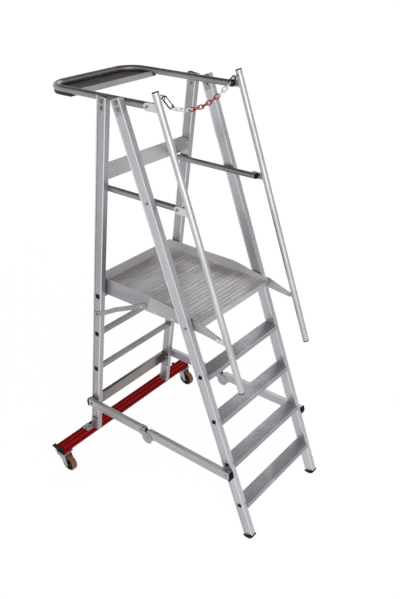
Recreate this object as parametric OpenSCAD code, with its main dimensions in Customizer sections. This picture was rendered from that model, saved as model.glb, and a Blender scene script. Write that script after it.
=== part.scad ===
// Mobile podium step: a folding aluminium platform ladder with a railed platform, two
// handrails, a chain across the entry and two braked casters on a wide rear crossbar.
// Millimetres, +Z up. The climbing side faces -Y, left is -X, the floor is z = 0.

/* [Frame] */
// Width over the outer faces of the stiles
frame_w = 674; // [620:1:760]
// Lean of the front ladder from the vertical, in degrees
front_lean = 20; // [17:0.5:21]
// Lean of the rear frame from the vertical, in degrees
rear_lean = 8; // [6:0.5:10]
// Level distance between the centre lines of the front and rear stiles at the guard rail
top_gap = 89; // [84:1:110]
// Depth of a stile, front to back
stile_d = 58; // [52:1:64]
// Thickness of a stile, side to side
stile_t = 30; // [26:1:36]
// Rise of the front stiles' top ends above the guard rail's centre line
front_top_rise = 16; // [14:1:50]
// Rise of the rear stiles' top ends above the guard rail's centre line
rear_top_rise = 14; // [10:1:30]

/* [Treads] */
// Height of the top of the lowest tread
tread_first_z = 215; // [200:1:230]
// Rise from one tread to the next
tread_rise = 242; // [225:1:250]
// Depth of a tread, front to back
tread_l = 80; // [74:1:100]
// Height of a tread's section
tread_h = 30; // [29:0.5:36]
// Side of the square tube under a tread
tread_tube = 20; // [16:0.5:26]

/* [Platform] */
// Height of the walking surface
deck_z = 1205; // [1190:1:1215]
// Reach of the deck in front of the front stiles' centre line
deck_lead = 70.6; // [55:0.1:90]
// Reach of the deck behind the rear stiles' centre line
deck_tail = 35.3; // [30:0.1:50]
// Drop of the side boards' lower edge below the walking surface
side_drop = 39; // [34:1:50]
// Number of planks in the deck
plank_count = 5; // [4:1:7]
// Height of a plank's section
plank_h = 28; // [22:1:34]
// Height of the toe boards above the deck
toe_h = 55; // [40:1:70]
// Thickness of the side and toe boards
toe_t = 4; // [3:0.5:5]
// Drop of the struts' rear ends below the walking surface
strut_drop = 165; // [140:1:190]

/* [Rails] */
// Height of the guard rail's centre line
rail_z = 2210; // [2206:1:2214]
// Diameter of the guard rail tube
rail_d = 33; // [28:1:36]
// Reach of the guard rail's rear face behind the rear stiles' centre line
rail_reach = 435.6; // [400:0.1:460]
// Bend radius of the guard rail's centre line
rail_bend_r = 110; // [80:1:150]
// Drop of the mid rails' centre line below the guard rail's
mid_drop = 435; // [434:1:480]
// Diameter of the mid rail tubes
mid_d = 30; // [26:1:34]
// Diameter of the handrail tubes
hand_d = 33; // [28:1:38]
// Level distance of the handrails in front of the front stiles
hand_gap = 232; // [225:1:238]
// Rise of the handrails' top ends above the guard rail's centre line
hand_top_rise = 63; // [56:1:80]
// Drop of the handrails' bottom ends below the walking surface
hand_bottom_drop = 282; // [200:1:330]
// Wall of all round tubes
tube_wall = 2; // [1.5:0.1:3]

/* [Rear frame] */
// Distance from one rung to the next
rung_pitch = 252; // [230:1:270]
// Side of the square rung tubes
rung_w = 25; // [22:0.5:31]
// Height of the back board
back_board_h = 90; // [70:1:100]
// Drop of the back board's middle below the guard rail's centre line
back_board_drop = 370; // [310:1:372]
// Height of the bottom board
bottom_board_h = 100; // [80:1:110]
// Height of the middle of the bottom board
bottom_board_z = 363; // [345:1:380]

/* [Crossbar and casters] */
// Length of the crossbar
bar_l = 1176; // [1140:1:1240]
// Depth of the crossbar, front to back
bar_w = 58; // [50:1:64]
// Height of the crossbar
bar_h = 46; // [40:1:60]
// Diameter of the wheels
wheel_d = 100; // [90:1:102]
// Width of the wheels
wheel_w = 32; // [26:1:36]
// Height from the floor to the top of a caster's plate
caster_h = 130; // [129:1:145]
// Level distance from the swivel axis to the wheel axle
caster_trail = 38; // [30:1:44]
// Distance of the casters' swivel axes from the ends of the crossbar
caster_inset = 25; // [15:1:45]

/* [Knee braces] */
// Height of the braces' centre line
brace_z = 398; // [390:1:410]
// Height of the brace tube
brace_h = 50; // [44:1:52]
// Width of the brace tube
brace_w = 25; // [22:1:30]
// Place of the knee pivot, as a share of the way from the front stile to the rear stile
knee_share = 0.5514; // [0.52:0.0002:0.58]
// Drop of the knee pivot below the braces' centre line
knee_drop = 30; // [29:1:34]
// Radius of the knee's discs
knee_r = 37; // [30:1:38]

/* [Chain] */
// Rise of the chain's end points above the guard rail's centre line
chain_rise = 40; // [36:1:44]
// Sag of the chain
chain_sag = 92; // [80:1:110]
// Wire diameter of a chain link
link_d = 6; // [4:0.5:6.5]
// Number of white links next to the carabiner
white_near = 4; // [2:1:5]
// Number of red links
red_count = 7; // [4:1:8]
// Number of white links next to the shackle
white_far = 3; // [2:1:5]

/* [Hidden] */
$fn = 48;
// Overrun of every cut
over = 1;
// Clearance of a pin that turns in its hole
run_gap = 0.05;
// Clearance of a piece that is pushed or bolted into another
fit_gap = 0.15;
// Least gap between pieces that move past each other
pass_gap = 1;
// Half of a large block that trims the ends of leaning pieces
trim = 500;

// Stile section: a box with ridges along the edges of its outer and inner faces
web_recess = 3;
inner_recess = 2;
web_t = 3;
flange_t = 3;
ridge_w = 7;
half_w = frame_w / 2;
inner_x = half_w - stile_t;
web_x = half_w - web_recess;
front_run = tan(front_lean);
rear_run = tan(rear_lean);
base_l = rail_z * (front_run + rear_run) + top_gap;
front_top_z = rail_z + front_top_rise;
rear_top_z = rail_z + rear_top_rise;
mid_z = rail_z - mid_drop;
hand_top_z = rail_z + hand_top_rise;
hand_bottom_z = deck_z - hand_bottom_drop;
chain_z = rail_z + chain_rise;
back_board_z = rail_z - back_board_drop;
function front_y(z) = z * front_run;
function rear_y(z) = base_l - z * rear_run;
function hand_y(z) = front_y(z) - hand_gap;

bracket_reach = 52;
deck_front_y = front_y(deck_z) - deck_lead;
deck_back_y = rear_y(deck_z) + deck_tail;
rail_front_y = hand_y(rail_z) + bracket_reach;
rail_back_y = rear_y(rail_z) + rail_reach;

// Feet: a low cap with a round sole that is flat where it meets the floor
foot_wall = 3;
foot_round = 40;
foot_flat = 1.5;
foot_skirt = 5;
foot_half = stile_d / 2 + foot_wall;
foot_c = (foot_round - foot_flat) / cos(front_lean);
foot_seat = foot_c - sqrt(pow(foot_round, 2) - pow(foot_half, 2));
foot_front_y = foot_seat * sin(front_lean) - foot_half * cos(front_lean);
// The middle of the whole part's box becomes the origin
y_org = -(foot_front_y + rail_back_y) / 2;

// Treads
tread_count = 4;
tread_wall = 2.5;
tread_rib_w = 4;
tread_rib_h = 1.2;
tread_rib_count = 7;
tread_rib_pitch = (tread_l - tread_rib_w) / (tread_rib_count - 1);
tread_groove = 5;
tread_groove_depth = 1.5;
plug_sink = 0.5;
plug_t = web_recess - plug_sink;
plug_in = 12;
function tread_z(k) = tread_first_z + k * tread_rise;
function tread_mid(k) = tread_z(k) - tread_h / 2;

// Bolts and rivets
bolt_r = 4;
head_r = 6.8;
head_h = 5;
washer_r = 11;
washer_t = 1.5;
rivet_r = 3;
rivet_head_r = 5.5;
rivet_head_h = 2;

// Layers between the stiles and the deck, from outside in
arm_t = 3;
side_x = inner_x - pass_gap - rivet_head_h - arm_t - fit_gap - over;
deck_half = side_x - toe_t;
arm_x = side_x + arm_t;

// Rails
rail_r = rail_d / 2;
rail_x = inner_x - pass_gap - rail_r;
rail_back_c = rail_back_y - rail_r;
mid_x = inner_x - pass_gap - mid_d / 2;
mid_back_y = rear_y(mid_z) + stile_d / 2 - over;
mid_rivet_l = web_t + inner_recess + pass_gap + 3 * tube_wall;
top_bolt_pitch = 30;
rear_bolt_drop = 8;
plate_t = 2.5;
plate_w = stile_d - 2 * ridge_w - 2 * over;
bolt_in = 6;
plate_l = 70;
plate_up = 12;
nut_h = 5;
hand_r = hand_d / 2;
hand_x = side_x + arm_t / 2;
cap_t = 6;
cap_in = 18;

// Platform
side_low_z = deck_z - side_drop;
rung_top_z = side_low_z - rung_w / 2;
side_top_z = deck_z + toe_h;
toe_front_h = 22;
side_front_z = deck_z + toe_front_h;
side_fall_share = 0.37;
side_fall_end_share = 0.03;
side_fall_steps = 8;
plank_gap = 1;
plank_top = 3;
plank_leg = 3;
plank_rib_h = 1.2;
plank_rib_w = 9;
plank_rib_count = 6;
plank_l = (deck_back_y - toe_t - deck_front_y) / plank_count;
arm_share = 0.4957;
arm_back_y = deck_front_y + arm_share * (deck_back_y - deck_front_y);
arm_slant = 34;
arm_end_h = 26;
arm_lead = 8;
arm_gap = 8;
arm_bend_y = deck_front_y - arm_lead;
arm_end_z = side_low_z;
arm_end_y = hand_y(arm_end_z) + hand_r + arm_gap;

// Struts
strut_w = 26;
strut_t = 4;
strut_end = 20;
strut_tip = 36;
strut_rear_z = deck_z - strut_drop;
strut_front_y = arm_back_y + arm_slant;
strut_front_z = side_low_z + strut_w / 2 + pass_gap;
strut_rear_y = rear_y(strut_rear_z);
strut_run = strut_rear_y - strut_front_y;
strut_rise = strut_front_z - strut_rear_z;
strut_l = norm([strut_run, strut_rise]);
strut_slope = atan2(strut_rise, strut_run);
strut_cross = 90 - strut_slope - rear_lean;
strut_lead = 4;
joggle_start = (stile_d / 2 + strut_w / 2 * cos(strut_cross)) / sin(strut_cross) + strut_lead;
joggle_l = 80;
joggle_end = joggle_start + joggle_l;

// Boards
board_t = 3;
board_inset = 1;

// Handrail brackets: flat tabs on the outer side of each rail end and side arm
tab_h = 36;
tab_out = 3;
tab_in = 4;
tab_t = 4;
tab_bolt_in = 20;
arm_tab_l = 34;

// Tool tray
tray_depth = 180;
tray_t = 2.5;
tray_rim_h = 10;
tray_bar_w = 30;
tray_bar_h = 27;
tray_bar_t = 3;
tray_front_y = rail_back_c - tray_depth;

// Crossbar
bar_z = caster_h;
bar_top_z = bar_z + bar_h;
bar_lap = 20;
caster_x = bar_l / 2 - caster_inset;
bar_front_y = rear_y(bar_top_z) + stile_d / 2 - bar_lap;
bar_mid_y = bar_front_y + bar_w / 2;
bar_wall = 3;
bar_groove = 9;
bar_groove_depth = 4;
bar_cap_t = 5;
foot_plate_t = 4;
foot_plate_h = 84;
foot_plate_out = 52;
foot_bolt_z = [28, 62];
foot_bolt_x = [14, 38];

// Casters
caster_plate_w = 72;
caster_plate_l = 80;
caster_plate_t = 4;
race_r = 29;
race_h = 14;
race_gap = 0.4;
king_r = 6;
crown_t = 5;
crown_r = 31;
leg_share = 1.35;
leg_t = 3.5;
leg_gap = 9;
axle_r = 5;
axle_boss_r = 11;
hub_r = 41;
hub_web = 12;
hub_boss_r = 11;
tyre_round = 4;
plate_low_z = caster_h - caster_plate_t;
race_low_z = plate_low_z - race_h;
crown_z = race_low_z - race_gap - crown_t;
leg_x = wheel_w / 2 + leg_gap;
pedal_w = 26;
pedal_t = 4;
pedal_l = 62;
pedal_y = 34;
pedal_drop = 6;
pedal_z = crown_z - pedal_drop;
pedal_pin_r = 3;
pedal_rise = 22;

// Knee braces
brace_gap = 7;
brace_wall = 2;
brace_in = half_w + brace_gap;
brace_mid = brace_in + brace_w / 2;
brace_out = brace_in + brace_w;
knee_z = brace_z - knee_drop;
brace_rear_y = rear_y(brace_z);
brace_front_y = front_y(brace_z);
knee_y = brace_front_y + knee_share * (brace_rear_y - brace_front_y);
brace_tail = 24;
brace_nose = 24;
brace_pin_r = 5;
cheek_t = 3;
cheek_gap = 0.3;
cheek_l = 56;
cheek_h = 34;
tongue_share = 0.86;
tongue_t = 12;
tongue_r = 13;
knee_pin_r = 6;
knee_head_r = 9;
knee_tube_gap = 14;
knee_nose_lap = 8;
cap_flange = 2;
brace_cap_t = 3;
brace_cap_bulge = 8;
brace_nose_y = knee_y + knee_nose_lap - brace_h / 2;
latch_w = 12;
latch_l = 34;
latch_t = 5;
latch_r = 4.5;
latch_pin_r = 2;
latch_back = 44;
latch_y = knee_y + latch_back;
latch_z = brace_z + brace_h / 2 + latch_r + pass_gap;
ear_t = 2.5;

// Chain: the carabiner hangs steeply from its eye, and the links follow a parabola
eye_reach = 26;
chain_end_x = hand_x - hand_r - eye_reach;
chain_y = hand_y(chain_z);
carabiner_l = 76;
carabiner_drop = 47;
chain_low_z = chain_z - chain_sag;
links_x = carabiner_l * cos(carabiner_drop) - chain_end_x;
links_z = chain_z - carabiner_l * sin(carabiner_drop);
low_share = sqrt((links_z - chain_low_z) / chain_sag);
chain_low_x = (links_x + low_share * chain_end_x) / (1 + low_share);
chain_a = chain_sag / pow(chain_end_x - chain_low_x, 2);
function arc_at(x) = let (u = 2 * chain_a * x, w = sqrt(1 + u * u)) (u * w + ln(u + w)) / (4 * chain_a);
function x_at(s, x, n) =
    n == 0 ? x : x_at(s, x - (arc_at(x) - s) / sqrt(1 + pow(2 * chain_a * x, 2)), n - 1);
newton_steps = 8;
arc_start = arc_at(links_x - chain_low_x);
chain_l = carabiner_l + arc_at(chain_end_x - chain_low_x) - arc_start;
function link_point(x) = [x + chain_low_x, chain_y, chain_low_z + chain_a * x * x];
function chain_point(s) = s < carabiner_l / 2 ? [-chain_end_x, chain_y, chain_z] :
    link_point(x_at(s - carabiner_l + arc_start, s - carabiner_l + arc_start, newton_steps));
shackle_l = 44;
link_count = white_near + red_count + white_far;
link_pitch = (chain_l - carabiner_l - shackle_l) / link_count;
function joint_s(i) = i == 0 ? 0 : carabiner_l + (i - 1) * link_pitch;
link_room = 3;
link_bow = link_d + link_room;
link_gap = 0.8;
link_end = (link_d + link_gap) / 2;
// The straight wires are a little fuller than the bows and lap over their ends
link_full = 0.06;
link_lap = 0.2;
snap_d = 6.5;
snap_bow = 9.5;
snap_turn = 135;
link_turn = 45;
gate_d = 5;
gate_pin_r = 1.5;
gate_barrel_r = 4;
gate_barrel_h = 3.4;
gate_cheek = 1.3;
gate_side_gap = 0.3;
shackle_bow = 9;
shackle_d = 6.5;
eye_bow = 12;
eye_d = 5;
shackle_seat = 3.7;
carabiner_seat = 4.2;

// Shared placing and shapes

module placed() translate([0, y_org, 0]) children();

module on_side(s) mirror([s < 0 ? 1 : 0, 0, 0]) children();

module both_sides() {
    children();
    mirror([1, 0, 0]) children();
}

module front_at(z) translate([0, front_y(z), z]) rotate([-front_lean, 0, 0]) children();

module rear_at(z) translate([0, rear_y(z), z]) rotate([rear_lean, 0, 0]) children();

module across(x0, l, r) translate([x0, 0, 0]) rotate([0, 90, 0]) cylinder(h = l, r = r);

module plate_x(x0, t) translate([x0, 0, 0]) rotate([90, 0, 90]) linear_extrude(t) children();

module ring(d, wall) difference() {
    circle(d = d);
    circle(d = d - 2 * wall);
}

module box_ring(w, h, wall) difference() {
    square([w, h], center = true);
    square([w - 2 * wall, h - 2 * wall], center = true);
}

// A bolt along X: the head's seat is at x = 0, the shank runs inwards
module bolt(l) {
    rotate([0, 90, 0]) cylinder(h = head_h, r = head_r, $fn = 6);
    across(-l, l + over / 2, bolt_r);
}

// A bolt whose head stands on a wide washer
module washer_bolt(l) {
    across(0, washer_t, washer_r);
    translate([washer_t, 0, 0]) bolt(l + washer_t);
}

// A bolt through a stile from its outer plate, with a nut on the inner plate
module stile_bolt() {
    washer_bolt(top_bolt_x - inner_x + nut_h);
    translate([inner_x - top_bolt_x - nut_h, 0, 0]) rotate([0, 90, 0]) cylinder(h = nut_h, r = head_r, $fn = 6);
}

module rivet(l) {
    across(0, rivet_head_h, rivet_head_r);
    across(-l, l + over / 2, rivet_r);
}

// Stiles

module stile_section() difference() {
    translate([-stile_d / 2, 0]) square([stile_d, stile_t]);
    translate([-stile_d / 2 + ridge_w, -over]) square([stile_d - 2 * ridge_w, web_recess + over]);
    translate([-stile_d / 2 + ridge_w, stile_t - inner_recess])
        square([stile_d - 2 * ridge_w, inner_recess + over]);
    translate([-stile_d / 2 + flange_t, web_recess + web_t])
        square([stile_d - 2 * flange_t, stile_t - web_recess - inner_recess - 2 * web_t]);
}

module stile_bar(l) translate([half_w, 0, 0]) rotate([0, 0, 90]) linear_extrude(l) stile_section();

module web_hole(y, z, r) translate([inner_x - over, y, z]) across(0, stile_t + 2 * over, r);

module web_square(y, z, w) translate([inner_x - over, y - w / 2, z - w / 2])
    cube([stile_t + 2 * over, w, w]);

front_low_z = rail_z - top_bolt_pitch * cos(front_lean);
rear_high_z = rail_z - rear_bolt_drop;
rear_low_z = rear_high_z - top_bolt_pitch * cos(rear_lean);
platform_bolt_rise = 13;
platform_bolt_z = side_low_z + platform_bolt_rise;

module front_stile(s) color("#b9b9c0") placed() on_side(s) difference() {
    rotate([-front_lean, 0, 0]) translate([0, 0, foot_seat])
        stile_bar(front_top_z / cos(front_lean) - foot_seat);
    for (k = [0 : tread_count - 1])
        web_square(front_y(tread_mid(k)), tread_mid(k), tread_tube + 2 * fit_gap);
    web_hole(front_y(rail_z), rail_z, bolt_r + run_gap);
    web_hole(front_y(front_low_z), front_low_z, bolt_r + fit_gap);
    web_hole(front_y(mid_z), mid_z, bolt_r + fit_gap);
    web_hole(front_y(platform_bolt_z), platform_bolt_z, bolt_r + fit_gap);
    web_hole(brace_front_y, brace_z, bolt_r + fit_gap);
}

module rear_stile(s) color("#b9b9c0") placed() on_side(s) difference() {
    translate([0, base_l + trim * rear_run, -trim]) rotate([rear_lean, 0, 0])
        stile_bar((rear_top_z + trim) / cos(rear_lean));
    translate([0, base_l - trim, -2 * trim]) cube([2 * trim, 2 * trim, 2 * trim + bar_top_z]);
    for (k = [0 : rung_count - 1])
        web_square(rear_y(rung_z(k)), rung_z(k), rung_w + 2 * fit_gap);
    web_hole(rear_y(rear_high_z), rear_high_z, bolt_r + fit_gap);
    web_hole(rear_y(rear_low_z), rear_low_z, bolt_r + fit_gap);
    web_hole(strut_rear_y, strut_rear_z, bolt_r + fit_gap);
    web_hole(brace_rear_y, brace_z, brace_pin_r + fit_gap);
    for (dz = foot_bolt_z)
        web_hole(rear_y(bar_top_z + dz), bar_top_z + dz, bolt_r + fit_gap);
    rear_at(mid_z) lip_hole(0);
    for (v = board_rivet_shares) {
        rear_at(back_board_z) lip_hole(v * back_board_h);
        rear_at(bottom_board_z) lip_hole(v * bottom_board_h);
    }
}

module lip_hole(z) translate([inner_x - over, board_rivet_y, z])
    across(0, inner_recess + web_t + 2 * over, rivet_r + fit_gap);

// Treads and rungs

module tread_outline() difference() {
    union() {
        translate([-tread_l / 2, -tread_h]) square([tread_l, tread_h - tread_rib_h]);
        for (i = [0 : tread_rib_count - 1])
            translate([i * tread_rib_pitch - tread_l / 2, -tread_rib_h - over])
                square([tread_rib_w, tread_rib_h + over]);
    }
    translate([-tread_l / 2 - over, -tread_h / 2 - tread_groove / 2])
        square([tread_groove_depth + over, tread_groove]);
}

module tread_profile() difference() {
    tread_outline();
    for (m = [0, 1]) mirror([m, 0])
        translate([tread_tube / 2, -tread_h + tread_wall])
            square([tread_l / 2 - tread_tube / 2 - tread_wall, tread_h - tread_rib_h - 2 * tread_wall]);
    translate([-tread_tube / 2 + tread_wall, -tread_h / 2 - tread_tube / 2 + tread_wall])
        square([tread_tube - 2 * tread_wall, tread_tube - 2 * tread_wall]);
}

module treads() color("#b4b4ba") placed() for (k = [0 : tread_count - 1])
    translate([0, front_y(tread_mid(k)), 0]) {
        translate([0, 0, tread_z(k)]) {
            plate_x(-inner_x, 2 * inner_x) tread_profile();
            both_sides() plate_x(inner_x - tread_wall, tread_wall) difference() {
                tread_outline();
                translate([0, -tread_h / 2]) square(tread_tube - 2 * tread_wall, center = true);
            }
        }
        translate([0, 0, tread_mid(k)]) plate_x(-web_x, 2 * web_x)
            box_ring(tread_tube, tread_tube, tread_wall);
    }

rung_count = 3;

function rung_z(k) = rung_top_z - k * rung_pitch;

module rear_rungs() color("#a9a39f") placed() for (k = [0 : rung_count - 1])
    translate([0, rear_y(rung_z(k)), rung_z(k)])
        plate_x(-web_x, 2 * web_x) box_ring(rung_w, rung_w, tube_wall);

// A square plug that closes a tube end in the recess of a stile's web
module plug(w, wall) {
    plate_x(web_x, plug_t) square([w, w], center = true);
    plate_x(web_x - plug_in, plug_in)
        square([w - 2 * wall - 2 * fit_gap, w - 2 * wall - 2 * fit_gap], center = true);
}

module tread_plugs() color("#1b1b1d") placed() both_sides() for (k = [0 : tread_count - 1])
    translate([0, front_y(tread_mid(k)), tread_mid(k)]) plug(tread_tube, tread_wall);

module rear_rung_plugs() color("#1b1b1d") placed() both_sides() for (k = [0 : rung_count - 1])
    translate([0, rear_y(rung_z(k)), rung_z(k)]) plug(rung_w, tube_wall);

module front_feet() color("#1e1e20") placed() both_sides() difference() {
    rotate([-front_lean, 0, 0]) difference() {
        plate_x(inner_x - foot_wall, stile_t + 2 * foot_wall) {
            intersection() {
                translate([0, foot_c]) circle(r = foot_round, $fn = 96);
                translate([-foot_half, -foot_c]) square([2 * foot_half, foot_c + foot_seat]);
            }
            translate([-foot_half, foot_seat - over]) square([2 * foot_half, foot_skirt + over]);
        }
        translate([inner_x - fit_gap, -stile_d / 2 - fit_gap, foot_seat])
            cube([stile_t + 2 * fit_gap, stile_d + 2 * fit_gap, 2 * foot_skirt]);
    }
    translate([0, -trim, -trim]) cube([2 * trim, 2 * trim, trim]);
}

// Boards across the rear frame, with their end tabs turned forward onto the stiles' lips

board_half = inner_x - fit_gap;

board_tab_y = -stile_d / 2 + board_inset;

module board_plan() polygon([
    [-board_half, board_tab_y], [-board_half + board_t, board_tab_y],
    [-board_half + board_t, stile_d / 2 - board_t], [board_half - board_t, stile_d / 2 - board_t],
    [board_half - board_t, board_tab_y], [board_half, board_tab_y],
    [board_half, stile_d / 2], [-board_half, stile_d / 2]]);

module rear_board(z, h) rear_at(z) difference() {
    translate([0, 0, -h / 2]) linear_extrude(h) board_plan();
    for (m = [0, 1]) mirror([m, 0, 0]) for (v = board_rivet_shares)
        translate([board_half - 2 * board_t, board_rivet_y, v * h])
            across(0, 3 * board_t, rivet_r + fit_gap);
}

// Places of the rivets from the middle of a board
board_rivet_shares = [-0.25, 0.25];
board_rivet_y = -stile_d / 4;

module back_board() color("#b0aead") placed() rear_board(back_board_z, back_board_h);

module bottom_board() color("#b0a8a8") placed() {
    rear_board(bottom_board_z, bottom_board_h);
    rear_at(bottom_board_z)
        translate([over - board_half, stile_d / 2 - board_t - board_lip, bottom_board_h / 2 - board_t])
            cube([2 * (board_half - over), board_lip + over, board_t]);
}

board_lip = 16;

// Rails and handrails

module guard_rail() color("#77767a") placed() translate([0, 0, rail_z]) difference() {
    union() {
        both_sides() {
            translate([rail_x, rail_front_y, 0]) rotate([-90, 0, 0])
                linear_extrude(rail_back_c - rail_bend_r - rail_front_y) ring(rail_d, tube_wall);
            translate([rail_x - rail_bend_r, rail_back_c - rail_bend_r, 0])
                rotate_extrude(angle = 90) translate([rail_bend_r, 0]) ring(rail_d, tube_wall);
        }
        translate([-(rail_x - rail_bend_r), rail_back_c, 0]) rotate([90, 0, 90])
            linear_extrude(2 * (rail_x - rail_bend_r)) ring(rail_d, tube_wall);
    }
    both_sides() {
        translate([rail_x, front_y(rail_z), 0]) across(0, rail_d, bolt_r + fit_gap);
        translate([rail_x, rear_y(rear_high_z), -rear_bolt_drop]) across(0, rail_d, bolt_r + fit_gap);
    }
    both_sides() translate([rail_x, rail_front_y + tab_bolt_in, 0]) across(0, rail_d, bolt_r + fit_gap);
}

mid_front_y = hand_y(mid_z) + bracket_reach;

module mid_rails() color("#77767a") placed() both_sides() difference() {
    translate([mid_x, mid_front_y, mid_z]) rotate([-90, 0, 0])
        linear_extrude(mid_back_y - mid_front_y) ring(mid_d, tube_wall);
    translate([mid_x, mid_front_y + tab_bolt_in, mid_z]) across(0, mid_d, bolt_r + fit_gap);
    rear_at(mid_z) translate([mid_x, board_rivet_y, 0]) across(0, mid_d, rivet_r + fit_gap);
}

module handrail_line(z) translate([hand_x, hand_y(z), z]) rotate([-front_lean, 0, 0]) children();

hand_l = (hand_top_z - hand_bottom_z) / cos(front_lean);

module handrail(s) color("#c3c3c7") placed() on_side(s) difference() {
    handrail_line(hand_bottom_z) linear_extrude(hand_l) ring(hand_d, tube_wall);
    translate([hand_x - hand_d, chain_y, chain_z]) across(0, hand_d, eye_d / 2 + fit_gap);
}

// Black plugs in the open ends of the round tubes
module tube_plug(d, depth) {
    cylinder(h = cap_t / 2, d = d);
    translate([0, 0, cap_t / 2]) cylinder(h = cap_t / 2, d1 = d, d2 = d - cap_t / 2);
    translate([0, 0, -depth]) cylinder(h = depth + over, d = d - 2 * tube_wall - 2 * fit_gap);
}

module tube_plugs() color("#1b1b1d") placed() both_sides() {
    handrail_line(hand_top_z) tube_plug(hand_d, cap_in);
    handrail_line(hand_bottom_z) rotate([180, 0, 0]) tube_plug(hand_d, cap_in);
    translate([mid_x, mid_back_y, mid_z]) rotate([-90, 0, 0]) tube_plug(mid_d, cap_in / 2);
    translate([mid_x, mid_front_y, mid_z]) rotate([90, 0, 0]) tube_plug(mid_d, cap_in / 2);
    translate([rail_x, rail_front_y, rail_z]) rotate([90, 0, 0]) tube_plug(rail_d, cap_in / 2);
}

// A flat tab from the handrail's side to the outer side of a rail's end
module tab_outline(l, h) {
    translate([0, -h / 2]) square([l, h]);
    translate([l, 0]) circle(d = h);
}

module handrail_room(z) handrail_line(z) translate([0, 0, -2 * tab_h])
    cylinder(h = 4 * tab_h, r = hand_r + fit_gap);

module rail_tab(z, x, end_y, d) difference() {
    translate([0, hand_y(z), z]) plate_x(x + d / 2 - tab_in, tab_in + tab_out)
        tab_outline(end_y + tab_bolt_in - hand_y(z), tab_h);
    handrail_room(z);
    translate([x, hand_y(z), z]) rotate([-90, 0, 0])
        cylinder(h = end_y - hand_y(z) + 2 * tab_h, d = d + 2 * fit_gap);
    translate([x, end_y + tab_bolt_in, z]) across(0, d, bolt_r + fit_gap);
}

arm_bolt_ys = [arm_end_y + arm_end_h / 2, arm_end_y + arm_tab_l];

module arm_tab() difference() {
    translate([0, hand_y(arm_end_z), arm_end_z]) plate_x(arm_x, tab_t)
        tab_outline(arm_end_y + arm_tab_l - hand_y(arm_end_z), arm_end_h);
    handrail_room(arm_end_z);
    for (y = arm_bolt_ys) translate([arm_x - over, y, arm_end_z]) across(0, 2 * tab_t, rivet_r + fit_gap);
}

module handrail_brackets() color("#d0d0d2") placed() both_sides() {
    rail_tab(rail_z, rail_x, rail_front_y, rail_d);
    rail_tab(mid_z, mid_x, mid_front_y, mid_d);
    arm_tab();
}

// Platform

fall_y0 = deck_front_y + side_fall_share * (deck_back_y - deck_front_y);
fall_y1 = deck_front_y + side_fall_end_share * (deck_back_y - deck_front_y);

function side_top(y) = y >= fall_y0 ? side_top_z : y <= fall_y1 ? side_front_z :
    side_front_z + (side_top_z - side_front_z) * (1 - cos(180 * (y - fall_y1) / (fall_y0 - fall_y1))) / 2;

fall_edge = [for (i = [0 : side_fall_steps])
    let (y = fall_y1 + (fall_y0 - fall_y1) * i / side_fall_steps) [y, side_top(y)]];

module side_board_outline() polygon(concat(
    [[deck_back_y, side_low_z], [deck_front_y, side_low_z], [deck_front_y, side_front_z]],
    fall_edge, [[deck_back_y, side_top_z]]));

module side_board(s) color("#a9a7ab") placed() on_side(s) difference() {
    plate_x(side_x - toe_t, toe_t) side_board_outline();
    for (p = arm_rivets) translate([side_x - 2 * toe_t, p[0], p[1]])
        across(0, 3 * toe_t, rivet_r + fit_gap);
    translate([side_x - 2 * toe_t, strut_front_y, strut_front_z]) across(0, 3 * toe_t, rivet_r + fit_gap);
}

arm_margin = 3;
arm_rivet_shares = [0.16, 0.56, 0.92];
arm_rivets = [for (v = arm_rivet_shares)
    [arm_bend_y + v * (arm_back_y - arm_slant - arm_bend_y), side_low_z + strut_w / 2]];
arm_edge = [for (q = fall_edge) if (q[0] < arm_back_y - arm_slant) [q[0], q[1] - arm_margin]];

module side_arm_outline() {
    polygon(concat(
        [[arm_end_y + arm_end_h / 2, arm_end_z - arm_end_h / 2], [arm_bend_y, side_low_z],
         [arm_back_y, side_low_z], [arm_back_y - arm_slant, side_top(arm_back_y - arm_slant) - arm_margin]],
        [for (i = [len(arm_edge) - 1 : -1 : 0]) arm_edge[i]],
        [[arm_bend_y, side_front_z - arm_margin], [arm_end_y + arm_end_h / 2, arm_end_z + arm_end_h / 2]]));
    translate([arm_end_y + arm_end_h / 2, arm_end_z]) circle(d = arm_end_h);
}

module side_arm(s) color("#b5b5b9") placed() on_side(s) difference() {
    plate_x(side_x, arm_t) side_arm_outline();
    for (p = arm_rivets) translate([side_x - toe_t, p[0], p[1]]) across(0, 3 * toe_t, rivet_r + fit_gap);
    for (y = arm_bolt_ys) translate([side_x - toe_t, y, arm_end_z]) across(0, 3 * toe_t, rivet_r + fit_gap);
}

module plank_profile() {
    l = plank_l - plank_gap;
    translate([0, -plank_top - plank_rib_h]) square([l, plank_top]);
    for (x = [0, l - plank_leg]) translate([x, -plank_h]) square([plank_leg, plank_h - plank_rib_h]);
    for (x = [0, l - 3 * plank_leg]) translate([x, -plank_h]) square([3 * plank_leg, plank_leg]);
    for (i = [0 : plank_rib_count - 1])
        translate([i * (l - plank_rib_w) / (plank_rib_count - 1), -plank_rib_h - over / 2])
            square([plank_rib_w, plank_rib_h + over / 2]);
}

module deck_planks() color("#8f8b8a") placed() for (i = [0 : plank_count - 1])
    translate([0, deck_front_y + i * plank_l, deck_z]) plate_x(-deck_half, 2 * deck_half) plank_profile();

module rear_toe_board() color("#a9a7ab") placed()
    translate([-deck_half, deck_back_y - toe_t, deck_z - plank_h])
        cube([2 * deck_half, toe_t, plank_h + toe_h]);

// Struts from the rear stiles' outer faces to the side boards' lower edges

module strut_plan() polygon([
    [-strut_end, half_w + strut_t], [joggle_start, half_w + strut_t],
    [joggle_end, side_x + strut_t], [strut_l + strut_tip, side_x + strut_t],
    [strut_l + strut_tip, side_x], [joggle_end, side_x],
    [joggle_start, half_w], [-strut_end, half_w]]);

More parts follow.
